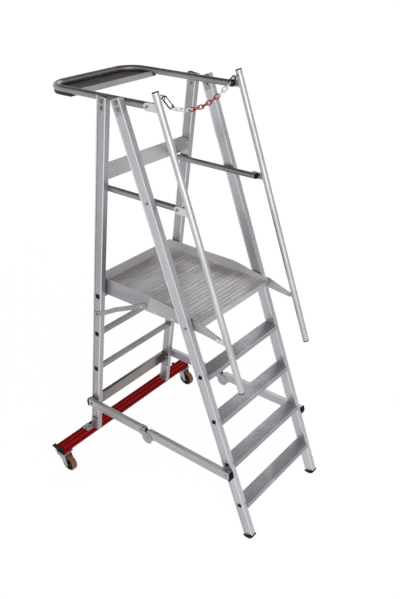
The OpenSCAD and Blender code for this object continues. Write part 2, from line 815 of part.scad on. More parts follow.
module struts() color("#a8a8ac") placed() both_sides() difference() {
    translate([0, strut_rear_y, strut_rear_z]) rotate([-strut_slope, 0, 0]) translate([0, 0, -strut_w / 2])
        mirror([0, 1, 0]) rotate([0, 0, 90]) mirror([0, 1, 0]) linear_extrude(strut_w) strut_plan();
    translate([half_w - over, strut_rear_y, strut_rear_z]) across(0, 2 * strut_t, bolt_r + fit_gap);
    translate([side_x - over, strut_front_y, strut_front_z]) across(0, 2 * strut_t, rivet_r + fit_gap);
}

// Bolts and rivets that stay with the rear frame, its rails and the platform

module frame_bolts() color("#8d9092") placed() both_sides() {
    translate([top_bolt_x, rear_y(rear_high_z), rear_high_z]) washer_bolt(top_bolt_x - rail_x - rail_r / 2);
    translate([top_bolt_x, rear_y(rear_low_z), rear_low_z]) stile_bolt();
    translate([top_bolt_x + fit_gap, front_y(rail_z), rail_z])
        washer_bolt(top_bolt_x + fit_gap - rail_x - rail_r / 2);
    translate([half_w + strut_t, strut_rear_y, strut_rear_z]) bolt(strut_t + web_recess + web_t);
    translate([brace_out, brace_rear_y, brace_z]) {
        rotate([0, 90, 0]) cylinder(h = head_h, r = head_r + over, $fn = 6);
        across(-(brace_out - web_x) - web_t, brace_out - web_x + web_t + over / 2, brace_pin_r);
    }
    translate([web_x, brace_rear_y, brace_z]) across(0, brace_in - web_x - fit_gap, 2 * brace_pin_r);
    for (dz = foot_bolt_z) translate([half_w + foot_plate_t, rear_y(bar_top_z + dz), bar_top_z + dz])
        bolt(foot_plate_t + web_recess + web_t);
    for (dx = foot_bolt_x) translate([half_w + dx, bar_mid_y, bar_top_z + foot_plate_t])
        rotate([0, -90, 0]) bolt(foot_plate_t + bar_groove_depth + bar_wall);
    translate([rail_x + rail_r + tab_out, rail_front_y + tab_bolt_in, rail_z]) bolt(tab_out + rail_r / 2);
    translate([mid_x + mid_d / 2 + tab_out, mid_front_y + tab_bolt_in, mid_z]) bolt(tab_out + mid_d / 4);
}

top_bolt_x = web_x + plate_t;

module board_rivets(h) for (v = board_rivet_shares)
    translate([board_half - board_t, board_rivet_y, v * h])
        mirror([1, 0, 0]) rivet(board_t + fit_gap + inner_recess + web_t);

module frame_rivets() color("#c8c8ca") placed() both_sides() {
    rear_at(back_board_z) board_rivets(back_board_h);
    rear_at(bottom_board_z) board_rivets(bottom_board_h);
    for (p = arm_rivets) translate([arm_x, p[0], p[1]]) rivet(arm_t + toe_t);
    for (y = arm_bolt_ys) translate([arm_x + tab_t, y, arm_end_z]) rivet(tab_t + arm_t);
    translate([side_x + strut_t, strut_front_y, strut_front_z]) rivet(strut_t + toe_t);
    rear_at(mid_z) translate([inner_x + inner_recess + web_t, board_rivet_y, 0])
        across(-mid_rivet_l, mid_rivet_l, rivet_r);
}

// Zinc plates under the top bolts, in the recesses of the stiles' outer and inner faces

module top_plate() for (p = [[web_x, plate_t], [inner_x, inner_recess]])
    translate([p[0], -plate_w / 2, plate_up - plate_l]) cube([p[1], plate_w, plate_l]);

module top_plates() color("#8f9496") placed() both_sides() difference() {
    rear_at(rear_high_z) top_plate();
    web_hole(rear_y(rear_high_z), rear_high_z, bolt_r + fit_gap);
    web_hole(rear_y(rear_low_z), rear_low_z, bolt_r + fit_gap);
}

module front_top_plates() color("#8f9496") placed() both_sides() difference() {
    front_at(rail_z) top_plate();
    web_hole(front_y(rail_z), rail_z, bolt_r + run_gap);
    web_hole(front_y(front_low_z), front_low_z, bolt_r + fit_gap);
}

module front_bolts() color("#8d9092") placed() both_sides() {
    translate([top_bolt_x, front_y(front_low_z), front_low_z]) stile_bolt();
    translate([web_x, front_y(mid_z), mid_z]) bolt(bolt_in);
    translate([web_x, front_y(platform_bolt_z), platform_bolt_z]) bolt(bolt_in);
    translate([web_x, brace_front_y, brace_z]) {
        across(0, web_recess - fit_gap, 2 * brace_pin_r);
        across(-bolt_in, bolt_in + over, bolt_r);
    }
}

// Tool tray in the bend of the guard rail

tray_gap = 0.2;
tray_inset = 4;
tray_half = rail_x + rail_r - tray_inset;
tray_back_y = rail_back_y - tray_inset;
tray_corner = rail_bend_r + rail_r - tray_inset;
tray_top_z = rail_z - rail_r - tray_gap;

module tray_outline(inset) {
    r = tray_corner - inset;
    w = tray_half - inset;
    y0 = tray_front_y + inset;
    y1 = tray_back_y - inset;
    translate([-w, y0]) square([2 * w, y1 - r - y0]);
    translate([-w + r, y0]) square([2 * (w - r), y1 - y0]);
    intersection() {
        for (x = [-w + r, w - r]) translate([x, y1 - r]) circle(r = r);
        translate([-w, y0]) square([2 * w, y1 - y0]);
    }
}

module tool_tray() color("#3a332f") placed() {
    translate([0, 0, tray_top_z - tray_t]) linear_extrude(tray_t) tray_outline(0);
    translate([0, 0, tray_top_z - tray_rim_h]) linear_extrude(tray_rim_h) difference() {
        tray_outline(0);
        tray_outline(tray_t);
    }
}

tray_bar_half = rail_x - rail_r - tray_gap;

module tray_bar() color("#b8b8bb") placed() translate([0, tray_front_y - tray_bar_t, tray_top_z])
    plate_x(-tray_bar_half, 2 * tray_bar_half) {
        translate([0, -tray_rim_h]) square([tray_bar_t, tray_bar_h]);
        square([tray_bar_w, tray_bar_t]);
    }

// Crossbar, its caps and the brackets that carry the rear stiles

module bar_grooves() {
    for (u = [-1, 1]) translate([u * bar_w / 4, bar_h - bar_groove_depth / 2])
        square([bar_groove, bar_groove_depth + over], center = true);
    for (u = [-1, 1]) translate([u * (bar_w / 2 - bar_groove_depth / 2), bar_h / 2])
        square([bar_groove_depth + over, bar_groove], center = true);
}

module bar_hollow() translate([-bar_w / 2 + bar_groove_depth + bar_wall, bar_wall])
    square([bar_w - 2 * bar_groove_depth - 2 * bar_wall, bar_h - bar_groove_depth - 2 * bar_wall]);

module crossbar() color("#a3161c") placed() difference() {
    translate([0, bar_mid_y, bar_z]) plate_x(-bar_l / 2, bar_l) difference() {
        translate([-bar_w / 2, 0]) square([bar_w, bar_h]);
        bar_grooves();
        bar_hollow();
    }
    both_sides() for (dx = foot_bolt_x)
        translate([half_w + dx, bar_mid_y, bar_z + bar_h / 2]) cylinder(h = bar_h, r = bolt_r + fit_gap);
}

module crossbar_caps() color("#1b1b1d") placed() both_sides() translate([0, bar_mid_y, bar_z]) {
    plate_x(bar_l / 2, bar_cap_t) translate([-bar_w / 2, 0]) square([bar_w, bar_h]);
    plate_x(bar_l / 2 - cap_in, cap_in)
        translate([-bar_w / 2 + bar_groove_depth + bar_wall + fit_gap, bar_wall + fit_gap])
            square([bar_w - 2 * (bar_groove_depth + bar_wall + fit_gap),
                    bar_h - bar_groove_depth - 2 * (bar_wall + fit_gap)]);
}

module foot_brackets() color("#9aa0a2") placed() both_sides() difference() {
    union() {
        plate_x(half_w, foot_plate_t) polygon([
            [rear_y(bar_top_z) - stile_d / 2 + ridge_w, bar_top_z],
            [rear_y(bar_top_z) + stile_d / 2, bar_top_z],
            [rear_y(bar_top_z + foot_plate_h) + stile_d / 2 - ridge_w, bar_top_z + foot_plate_h],
            [rear_y(bar_top_z + foot_plate_h) - stile_d / 2 + ridge_w, bar_top_z + foot_plate_h]]);
        translate([half_w, bar_front_y, bar_top_z]) cube([foot_plate_out, bar_w, foot_plate_t]);
    }
    for (dz = foot_bolt_z) translate([half_w - over, rear_y(bar_top_z + dz), bar_top_z + dz])
        across(0, 2 * foot_plate_t, bolt_r + fit_gap);
    for (dx = foot_bolt_x) translate([half_w + dx, bar_mid_y, bar_top_z - over])
        cylinder(h = 2 * foot_plate_t, r = bolt_r + fit_gap);
}

// Casters: a fixed plate and race, a swivelling fork, a wheel and a brake pedal

module caster_at(s) placed() translate([s * caster_x, bar_mid_y, 0]) children();

module caster_plates() for (s = [-1, 1]) color("#9aa0a2") caster_at(s) difference() {
    union() {
        translate([-caster_plate_w / 2, -caster_plate_l / 2, plate_low_z])
            cube([caster_plate_w, caster_plate_l, caster_plate_t]);
        translate([0, 0, race_low_z]) cylinder(h = race_h + over, r = race_r);
    }
    translate([0, 0, race_low_z - over]) cylinder(h = race_h, r = king_r + run_gap);
}

module leg_outline() {
    polygon([[-caster_trail - axle_boss_r, wheel_d / 2], [-crown_r, crown_z + crown_t],
             [leg_share * crown_r, crown_z + crown_t], [-caster_trail + axle_boss_r, wheel_d / 2]]);
    translate([-caster_trail, wheel_d / 2]) circle(r = axle_boss_r);
}

module caster_fork(s) color("#9aa0a2") caster_at(s) {
    difference() {
        union() {
            translate([0, 0, crown_z]) cylinder(h = crown_t, r = crown_r);
            for (x = [-leg_x - leg_t, leg_x]) plate_x(x, leg_t) leg_outline();
            translate([-leg_x, 0, crown_z]) cube([2 * leg_x, pedal_y - 2 * pedal_pin_r, crown_t]);
            for (x = [-leg_x - leg_t, leg_x]) plate_x(x, leg_t) pedal_ear();
        }
        translate([0, pedal_y, pedal_z]) across(-2 * leg_x, 4 * leg_x, pedal_pin_r + run_gap);
    }
    translate([0, 0, crown_z]) cylinder(h = crown_t + race_gap + race_h - 2 * over, r = king_r);
    translate([0, -caster_trail, wheel_d / 2])
        across(-leg_x - leg_t - over, 2 * (leg_x + leg_t + over), axle_r);
}

module pedal_ear() {
    translate([0, pedal_z - 2 * pedal_pin_r])
        square([pedal_y, crown_z + crown_t - pedal_z + 2 * pedal_pin_r]);
    translate([pedal_y, pedal_z]) circle(r = 2 * pedal_pin_r);
    translate([pedal_y - pedal_pin_r, pedal_z]) square([2 * pedal_pin_r, crown_z + crown_t - pedal_z]);
}

module on_axle(s) caster_at(s) translate([0, -caster_trail, wheel_d / 2]) rotate([0, 90, 0]) children();

module wheel_tyre(s) color("#b4582a") on_axle(s) rotate_extrude() {
    translate([hub_r + run_gap, -wheel_w / 2])
        square([wheel_d / 2 - tyre_round - hub_r - run_gap, wheel_w]);
    translate([wheel_d / 2 - tyre_round - over, -wheel_w / 2 + tyre_round])
        square([tyre_round + over, wheel_w - 2 * tyre_round]);
    for (v = [-1, 1]) translate([wheel_d / 2 - tyre_round, v * (wheel_w / 2 - tyre_round)])
        circle(r = tyre_round);
}

module wheel_hub(s) color("#232325") on_axle(s) difference() {
    union() {
        difference() {
            cylinder(h = wheel_w - 2 * over, r = hub_r, center = true);
            for (m = [0, 1]) mirror([0, 0, m]) translate([0, 0, hub_web / 2])
                cylinder(h = wheel_w, r = hub_r - tyre_round);
        }
        cylinder(h = wheel_w + 2 * leg_gap - 2 * over, r = hub_boss_r, center = true);
    }
    cylinder(h = 2 * wheel_w, r = axle_r + run_gap, center = true);
}

module pedal_side() {
    circle(r = 2 * pedal_pin_r);
    polygon([[0, 2 * pedal_pin_r], [0, -pedal_pin_r],
             [pedal_l, pedal_rise - pedal_t], [pedal_l, pedal_rise]]);
    translate([pedal_l, pedal_rise - pedal_t / 2]) circle(d = pedal_t);
}

module brake_pedal(s) color("#7d1418") caster_at(s) translate([0, pedal_y, pedal_z]) {
    plate_x(-pedal_w / 2, pedal_w) pedal_side();
    across(-leg_x - leg_t - over, 2 * (leg_x + leg_t + over), pedal_pin_r);
}

// Knee braces outside the stiles, hinged in the middle

module brace_tube(y0, y1) translate([brace_mid, y1, brace_z]) rotate([90, 0, 0])
    linear_extrude(y1 - y0) box_ring(brace_w, brace_h, brace_wall);

// A zinc disc on the knee pivot with a foot that lies on the side of the rear tube
module cheek_foot() translate([knee_y + knee_tube_gap, brace_z - brace_h / 2])
    square([cheek_l - knee_tube_gap, cheek_h]);

module cheek_outline() {
    translate([knee_y, knee_z]) circle(r = knee_r);
    cheek_foot();
}

module knee_plates(s) color("#9aa0a2") placed() on_side(s) {
    plate_x(brace_in - cheek_gap - cheek_t, cheek_t) cheek_outline();
    plate_x(brace_in - cheek_gap - cheek_t / 2, cheek_gap + cheek_t / 2) cheek_foot();
    plate_x(brace_out + cheek_gap, cheek_t) cheek_outline();
    plate_x(brace_out, cheek_gap + cheek_t / 2) cheek_foot();
    translate([0, knee_y, knee_z]) {
        across(brace_in - cheek_gap - cheek_t / 2, brace_w + 2 * cheek_gap + cheek_t, knee_pin_r);
        across(brace_out + cheek_gap + cheek_t / 2, cheek_t / 2 + rivet_head_h, knee_head_r);
    }
    translate([0, knee_y + cheek_l - rivet_head_r - rivet_head_h, brace_z])
        across(brace_out + cheek_gap + cheek_t / 2, cheek_t / 2 + rivet_head_h, rivet_head_r);
}

module brace_rear(s) color("#b3b3b9") placed() on_side(s) {
    difference() {
        union() {
            brace_tube(knee_y + knee_tube_gap, brace_rear_y + brace_tail);
            for (x = [brace_mid - latch_w / 2 - pass_gap - ear_t, brace_mid + latch_w / 2 + pass_gap])
                plate_x(x, ear_t) {
                    translate([latch_y, latch_z]) circle(r = latch_r);
                    translate([latch_y - latch_r, brace_z + brace_h / 2 - brace_wall])
                        square([2 * latch_r, latch_z - brace_z - brace_h / 2 + brace_wall]);
                }
        }
        translate([0, brace_rear_y, brace_z])
            across(brace_in - over, brace_w + 2 * over, brace_pin_r + run_gap);
    }
    translate([brace_mid, latch_y, latch_z])
        across(-latch_w / 2 - pass_gap - over, latch_w + 2 * (pass_gap + over), latch_pin_r);
}

module brace_front(s) color("#b3b3b9") placed() on_side(s) {
    brace_tube(brace_front_y - brace_nose, brace_nose_y);
    difference() {
        translate([0, brace_nose_y, brace_z]) across(brace_in, brace_w, brace_h / 2);
        translate([brace_in - over, brace_nose_y - brace_h, brace_z - brace_h])
            cube([brace_w + 2 * over, brace_h, 2 * brace_h]);
    }
    difference() {
        plate_x(brace_mid - tongue_t / 2, tongue_t) {
            translate([knee_y, knee_z]) circle(r = tongue_r);
            polygon([[brace_nose_y, brace_z + brace_h / 4],
                     [knee_y + tongue_r / 2, knee_z + tongue_share * tongue_r],
                     [knee_y - tongue_r / 2, knee_z - tongue_share * tongue_r],
                     [brace_nose_y, brace_z - brace_h / 4]]);
        }
        translate([0, knee_y, knee_z]) across(brace_in, brace_w, knee_pin_r + run_gap);
    }
    translate([brace_out, brace_front_y, brace_z]) {
        rotate([0, 90, 0]) cylinder(h = head_h, r = head_r + over, $fn = 6);
        across(2 * fit_gap - brace_w - brace_gap, brace_w + brace_gap - 2 * fit_gap + over / 2,
               brace_pin_r);
    }
}

// A black cap with a rounded end, a little larger than the tube
cap_w = brace_w + 2 * cap_flange;
cap_h = brace_h + 2 * cap_flange;
cap_round = (pow(cap_h / 2, 2) + pow(brace_cap_bulge, 2)) / (2 * brace_cap_bulge);

module brace_cap(y, turn) translate([brace_mid, y, brace_z]) rotate([turn * 90, 0, 0]) {
    plate_x(-cap_w / 2, cap_w) {
        translate([-cap_h / 2, 0]) square([cap_h, brace_cap_t]);
        intersection() {
            translate([0, brace_cap_t + brace_cap_bulge - cap_round]) circle(r = cap_round, $fn = 96);
            translate([-cap_h / 2, brace_cap_t - over]) square([cap_h, brace_cap_bulge + 2 * over]);
        }
    }
    translate([0, 0, -cap_in]) linear_extrude(cap_in) square(
        [brace_w - 2 * brace_wall - 2 * fit_gap, brace_h - 2 * brace_wall - 2 * fit_gap], center = true);
}

module brace_rear_cap(s) color("#1b1b1d") placed() on_side(s) brace_cap(brace_rear_y + brace_tail, -1);

module brace_front_cap(s) color("#1b1b1d") placed() on_side(s) brace_cap(brace_front_y - brace_nose, 1);

module knee_latch(s) color("#3c3c40") placed() on_side(s) difference() {
    plate_x(brace_mid - latch_w / 2, latch_w) {
        translate([latch_y, latch_z]) circle(r = latch_r);
        polygon([[latch_y, latch_z + latch_r], [latch_y - latch_l, latch_z + latch_r + latch_t / 2],
                 [latch_y - latch_l, latch_z + latch_r - latch_t], [latch_y, latch_z - latch_r]]);
    }
    translate([0, latch_y, latch_z]) across(brace_in, brace_w, latch_pin_r + run_gap);
}

// Chain across the entry

// Lays a piece from one chain joint to the next, along its own X
module laid(s0, s1, turn) {
    p = chain_point(s0);
    q = chain_point(s1);
    d = q - p;
    translate((p + q) / 2) rotate([0, -atan2(d[2], d[0]), 0]) rotate([turn, 0, 0]) children();
}

function span(s0, s1) = norm(chain_point(s1) - chain_point(s0));

module bow(r, d, from) rotate([0, 0, from]) rotate_extrude(angle = 180) translate([r, 0]) circle(d = d);

module straight_wire(l, d) translate([-link_lap, 0, 0]) rotate([0, 90, 0])
    cylinder(h = l + 2 * link_lap, d = d + link_full);

module oval(half, r, d) {
    translate([half - r, 0, 0]) bow(r, d, -90);
    translate([r - half, 0, 0]) bow(r, d, 90);
    for (y = [-r, r]) translate([r - half, y, 0]) straight_wire(2 * (half - r), d);
}

module chain_link(i) laid(joint_s(i), joint_s(i + 1), i % 2 == 1 ? link_turn : -link_turn)
    oval(span(joint_s(i), joint_s(i + 1)) / 2 + link_end, link_bow, link_d);

module chain_white_links() color("#ececea") placed() {
    for (i = [1 : white_near]) chain_link(i);
    for (i = [white_near + red_count + 1 : link_count]) chain_link(i);
}

module chain_red_links() color("#c8202a") placed()
    for (i = [white_near + 1 : white_near + red_count]) chain_link(i);

snap_half = span(0, carabiner_l) / 2 + (snap_d + eye_d) / 4 + link_gap;
gate_l = 2 * (snap_half - snap_bow) - 2 * gate_barrel_r;
gate_x = gate_l / 2;

module snap_place() laid(0, carabiner_l, snap_turn) children();

module carabiner() color("#3c3c40") placed() {
    snap_place() {
        translate([snap_half - snap_bow, 0, 0]) bow(snap_bow, snap_d, -90);
        translate([snap_bow - snap_half, 0, 0]) bow(snap_bow, snap_d, 90);
        translate([snap_bow - snap_half, -snap_bow, 0]) straight_wire(2 * (snap_half - snap_bow), snap_d);
        for (z = [gate_barrel_h / 2 + gate_side_gap, -gate_barrel_h / 2 - gate_side_gap - gate_cheek])
            translate([gate_x, snap_bow, z]) {
                cylinder(h = gate_cheek, r = gate_barrel_r);
                translate([0, -gate_barrel_r / 2, 0])
                    cube([snap_half - snap_bow - gate_x, gate_barrel_r, gate_cheek]);
            }
        translate([gate_x, snap_bow, -gate_barrel_h / 2 - gate_side_gap - gate_cheek / 2])
            cylinder(h = gate_barrel_h + 2 * gate_side_gap + gate_cheek, r = gate_pin_r);
    }
    laid(chain_l - shackle_l, chain_l, link_count % 2 == 1 ? -link_turn : link_turn)
        oval(span(chain_l - shackle_l, chain_l) / 2 + link_end, shackle_bow, shackle_d);
}

module carabiner_gate() color("#55555a") placed() snap_place() difference() {
    translate([0, snap_bow, 0]) {
        translate([-gate_x, 0, 0]) rotate([0, 90, 0]) cylinder(h = gate_l, d = gate_d - 2 * gate_side_gap);
        translate([gate_x, 0, 0]) cylinder(h = gate_barrel_h, r = gate_barrel_r - over / 2, center = true);
    }
    translate([gate_x, snap_bow, 0])
        cylinder(h = 2 * gate_barrel_h, r = gate_pin_r + run_gap, center = true);
    for (z = [gate_barrel_h / 2, -gate_barrel_h / 2 - gate_d])
        translate([gate_x - gate_barrel_r - gate_side_gap, 0, z])
            cube([2 * gate_barrel_r, 2 * snap_bow, gate_d]);
}

// Each ring crosses the piece that hangs in it
module eye(turn, seat) translate([chain_end_x + eye_bow - seat, chain_y, chain_z]) {
    rotate([turn, 0, 0]) rotate_extrude() translate([eye_bow, 0]) circle(d = eye_d);
    across(eye_bow, hand_x - chain_end_x + seat - 2 * eye_bow, eye_d / 2);
}

module chain_eyes() color("#8d9092") placed() {
    mirror([1, 0, 0]) eye(link_turn, carabiner_seat);
    eye(link_count % 2 == 1 ? link_turn : -link_turn, shackle_seat);
}

rear_stile(-1);  // rear_stile_left
rear_stile(1);  // rear_stile_right
rear_rungs();
rear_rung_plugs();
back_board();
bottom_board();
guard_rail();
tool_tray();
tray_bar();
mid_rails();
handrail(-1);  // handrail_left
handrail(1);  // handrail_right
tube_plugs();
handrail_brackets();
deck_planks();
side_board(-1);  // side_board_left
side_board(1);  // side_board_right
rear_toe_board();
side_arm(-1);  // side_arm_left
side_arm(1);  // side_arm_right
struts();
frame_bolts();
frame_rivets();
top_plates();
crossbar();
crossbar_caps();
foot_brackets();
caster_plates();
chain_eyes();
front_stile(-1);  // front_stile_left
front_stile(1);  // front_stile_right
treads();
tread_plugs();
front_feet();
front_bolts();
front_top_plates();
brace_rear(-1);  // brace_rear_left
brace_rear(1);  // brace_rear_right
brace_rear_cap(-1);  // brace_rear_cap_left
brace_rear_cap(1);  // brace_rear_cap_right
brace_front(-1);  // brace_front_left
brace_front(1);  // brace_front_right
brace_front_cap(-1);  // brace_front_cap_left
brace_front_cap(1);  // brace_front_cap_right
knee_plates(-1);  // knee_plates_left
knee_plates(1);  // knee_plates_right
knee_latch(-1);  // knee_latch_left
knee_latch(1);  // knee_latch_right
caster_fork(-1);  // caster_fork_left
caster_fork(1);  // caster_fork_right
wheel_tyre(-1);  // wheel_tyre_left
wheel_tyre(1);  // wheel_tyre_right
wheel_hub(-1);  // wheel_hub_left
wheel_hub(1);  // wheel_hub_right
brake_pedal(-1);  // brake_pedal_left
brake_pedal(1);  // brake_pedal_right
chain_white_links();
chain_red_links();
carabiner();
carabiner_gate();
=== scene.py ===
import math

import bpy
from mathutils import Matrix, Vector


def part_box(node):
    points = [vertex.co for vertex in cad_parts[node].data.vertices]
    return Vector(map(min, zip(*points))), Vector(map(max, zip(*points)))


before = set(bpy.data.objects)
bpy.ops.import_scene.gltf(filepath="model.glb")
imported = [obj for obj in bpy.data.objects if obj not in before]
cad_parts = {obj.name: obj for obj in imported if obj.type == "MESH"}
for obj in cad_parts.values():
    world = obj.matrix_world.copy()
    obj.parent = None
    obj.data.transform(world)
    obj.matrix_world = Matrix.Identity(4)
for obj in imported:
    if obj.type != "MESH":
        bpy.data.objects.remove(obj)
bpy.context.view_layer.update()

# The four stiles: extruded aluminium boxes with ridges along the edges of the outer and inner faces.
# The face between the ridges is satin with fine die lines and a raised line in the middle; the ridges
# and the middle line carry painted highlights, and thin lines beside the ridges carry painted shade.
# The front pair leans back under the climber, the rear pair leans forward to meet it. The rear pair is
# painted darker as shade.


class Socket:
    """A shader socket. Arithmetic on it adds Math nodes to its own tree."""

    def __init__(self, tree, socket):
        self.tree = tree
        self.socket = socket

    def add(self, kind, settings, inputs, out=0):
        """A new node: its settings are made first, then its sockets are filled or linked."""
        node = self.tree.nodes.new(kind)
        for key, value in settings.items():
            setattr(node, key, value)
        for key, value in inputs.items():
            if isinstance(value, Socket):
                self.tree.links.new(value.socket, node.inputs[key])
            else:
                node.inputs[key].default_value = value
        return Socket(self.tree, node.outputs[out])

    def maths(self, operation, first, second=0.0):
        return self.add("ShaderNodeMath", {"operation": operation}, {0: first, 1: second})

    def __add__(self, other):
        return self.maths("ADD", self, other)

    def __radd__(self, other):
        return self.maths("ADD", other, self)

    def __sub__(self, other):
        return self.maths("SUBTRACT", self, other)

    def __rsub__(self, other):
        return self.maths("SUBTRACT", other, self)

    def __mul__(self, other):
        return self.maths("MULTIPLY", self, other)

    def __rmul__(self, other):
        return self.maths("MULTIPLY", other, self)

    def __abs__(self):
        return self.maths("ABSOLUTE", self)

    def larger(self, other):
        return self.maths("MAXIMUM", self, other)

    def between(self, low, high):
        """0 at low, 1 at high, smooth in between; low may be the larger of the two."""
        return self.add(
            "ShaderNodeMapRange",
            {"interpolation_type": "SMOOTHSTEP"},
            {"Value": self, "From Min": low, "From Max": high},
        )


def start_finish(name):
    """A new material, its main shader and the object coordinates that its pattern starts from."""
    material = bpy.data.materials.new(name)
    material.use_nodes = True
    tree = material.node_tree
    shader = tree.nodes["Principled BSDF"]
    coords = tree.nodes.new("ShaderNodeTexCoord")
    return material, shader, Socket(tree, coords.outputs["Object"])


def axis_of(vector, axis):
    return vector.add("ShaderNodeSeparateXYZ", {}, {"Vector": vector}, out=axis)


def noise(vector, scale, detail=3.0, rough=0.5):
    return vector.add(
        "ShaderNodeTexNoise",
        {},
        {"Vector": vector, "Scale": scale, "Detail": detail, "Roughness": rough},
    )


def streaks(coords, scale, detail=4.0, rough=0.5):
    """Noise that is drawn out along the axes with a small scale."""
    drawn_out = coords.add("ShaderNodeMapping", {}, {"Vector": coords, "Scale": scale})
    return noise(drawn_out, 1.0, detail, rough)


def blend(mask, under, over):
    """Colour: under where the mask is 0, over where it is 1; each is three numbers or a socket."""
    under, over = [part if isinstance(part, Socket) else (*part, 1) for part in (under, over)]
    colour_a, colour_b, colour_out = 6, 7, 2
    return mask.add(
        "ShaderNodeMix",
        {"data_type": "RGBA"},
        {0: mask, colour_a: under, colour_b: over},
        out=colour_out,
    )


def eased_normal(coords, height, depth, radius=0.0007):
    """A bump of that depth in metres, with edges eased by the radius; a round tube takes 0."""
    inputs = {"Height": height, "Distance": depth, "Strength": 1.0}
    if radius > 0:
        inputs["Normal"] = coords.add("ShaderNodeBevel", {"samples": 4}, {"Radius": radius})
    return coords.add("ShaderNodeBump", {}, inputs)


def end_finish(shader, colour, rough, normal, metal=0.0, coat=0.0, shine=0.5):
    inputs = {
        "Base Color": colour,
        "Roughness": rough,
        "Normal": normal,
        "Metallic": metal,
        "Coat Weight": coat,
        "Specular IOR Level": shine,
    }
    for key, value in inputs.items():
        if isinstance(value, Socket):
            value.tree.links.new(value.socket, shader.inputs[key])
        else:
            shader.inputs[key].default_value = value


def dress(material, *nodes):
    for node in nodes:
        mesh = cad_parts[node].data
        mesh.materials.clear()
        mesh.materials.append(material)


def stile_finish(name, foot_y, lean, dark, light):
    """Extrusion whose centre line starts at foot_y on the floor and leans by that many degrees."""
    stile_x = 0.322
    face_start, face_full = 0.0138, 0.0146
    ridge_start, ridge_full = 0.0205, 0.0225
    side_line = 0.0185
    lines_across, lines_along = 900, 3
    middle_highlight, side_line_shade, ridge_highlight = (0.72, 0.72, 0.74), (0.22, 0.215, 0.23), (0.78, 0.78, 0.80)

    material, shader, coords = start_finish(name)
    x, y, z = [axis_of(coords, axis) for axis in "XYZ"]
    across = (y - foot_y - z * math.tan(math.radians(lean))) * math.cos(math.radians(lean))
    faces = abs(abs(x) - stile_x).between(face_start, face_full)
    ridge = abs(across).between(ridge_start, ridge_full) * faces
    along = coords.add(
        "ShaderNodeCombineXYZ",
        {},
        {"X": x * lines_across, "Y": across * lines_across, "Z": z * lines_along},
    )
    lines = noise(along, 1.0, 4.0)
    cloud = streaks(coords, (6, 6, 2.4), 3.0)
    tone = 0.55 * lines.between(0.25, 0.75) + 0.45 * cloud.between(0.3, 0.7)
    colour = blend(tone, dark, light)
    # Painted highlight on the middle line and on the ridges, painted shade in the thin lines beside the
    # ridges.
    colour = blend(abs(across).between(0.0026, 0.0012) * faces * 0.35, colour, middle_highlight)
    side_shade_lines = abs(abs(across) - side_line).between(0.0018, 0.0008) * faces
    colour = blend(side_shade_lines * 0.4, colour, side_line_shade)
    colour = blend(ridge * 0.8, colour, ridge_highlight)
    rough = 0.46 - 0.08 * cloud - 0.16 * ridge
    end_finish(shader, colour, rough, eased_normal(coords, lines, 0.0001), metal=0.85)
    return material


front_foot_y, base_length = -0.652354, 1.20397
front_lean, rear_lean = 20, -8
dress(
    stile_finish(
        "front stile, satin extrusion",
        front_foot_y,
        front_lean,
        dark=(0.465, 0.455, 0.49),
        light=(0.60, 0.59, 0.625),
    ),
    "front_stile_left",
    "front_stile_right",
)
# The rear pair takes the same extrusion in darker colours: painted shade.
dress(
    stile_finish(
        "rear stile, extrusion darkened as painted shade",
        base_length + front_foot_y,
        rear_lean,
        dark=(0.33, 0.325, 0.345),
        light=(0.44, 0.43, 0.455),
    ),
    "rear_stile_left",
    "rear_stile_right",
)

# The treads and the square rear rungs: extruded aluminium, the treads ribbed against slipping.
# Feet polish the middle of each step, and the ends stay dull.
# Both pass through the walls of the stiles and are plugged at the ends.


def step_finish(name, dark, light, rubbed):
    worn_none, worn_full = 0.28, 0.05
    material, shader, coords = start_finish(name)
    lines = streaks(coords, (4, 900, 900))
    patch = streaks(coords, (9, 14, 14), 3.0)
    worn = abs(axis_of(coords, "X")).between(worn_none, worn_full) * patch.between(0.35, 0.65)
    colour = blend(lines.between(0.1, 0.9), dark, light)
    colour = blend(worn * 0.4, colour, rubbed)
    rough = 0.44 - 0.10 * worn + 0.08 * lines
    end_finish(shader, colour, rough, eased_normal(coords, lines, 0.00004), metal=0.85)
    return material


dress(
    step_finish(
        "tread, ribbed extrusion",
        dark=(0.335, 0.325, 0.35),
        light=(0.465, 0.455, 0.485),
        rubbed=(0.58, 0.57, 0.59),
    ),
    "treads",
)
dress(
    step_finish(
        "rung, dull extrusion",
        dark=(0.26, 0.24, 0.225),
        light=(0.36, 0.335, 0.315),
        rubbed=(0.42, 0.39, 0.37),
    ),
    "rear_rungs",
)

# Plugs and caps: black nylon, injection moulded with a fine spark texture.
# They are pushed into the tubes' ends; the braces' caps are rounded outside.


def nylon_finish():
    dark, light, scuffed = (0.004, 0.004, 0.005), (0.010, 0.010, 0.011), (0.03, 0.03, 0.033)
    material, shader, coords = start_finish("black nylon, spark texture")
    grain = noise(coords, 1400, 2.0)
    scuff = streaks(coords, (60, 60, 25)).between(0.58, 0.75)
    colour = blend(scuff * 0.3, blend(grain, dark, light), scuffed)
    rough = 0.42 + 0.18 * grain + 0.1 * scuff
    end_finish(shader, colour, rough, eased_normal(coords, grain, 0.00012), shine=0.05)
    return material


dress(
    nylon_finish(),
    "rear_rung_plugs",
    "tread_plugs",
    "tube_plugs",
    "crossbar_caps",
    "brace_rear_cap_left",
    "brace_rear_cap_right",
    "brace_front_cap_left",
    "brace_front_cap_right",
)

# The feet: low black rubber caps with a round sole on the lower ends of the front stiles.
# The rubber is matt and collects pale dust near the floor.


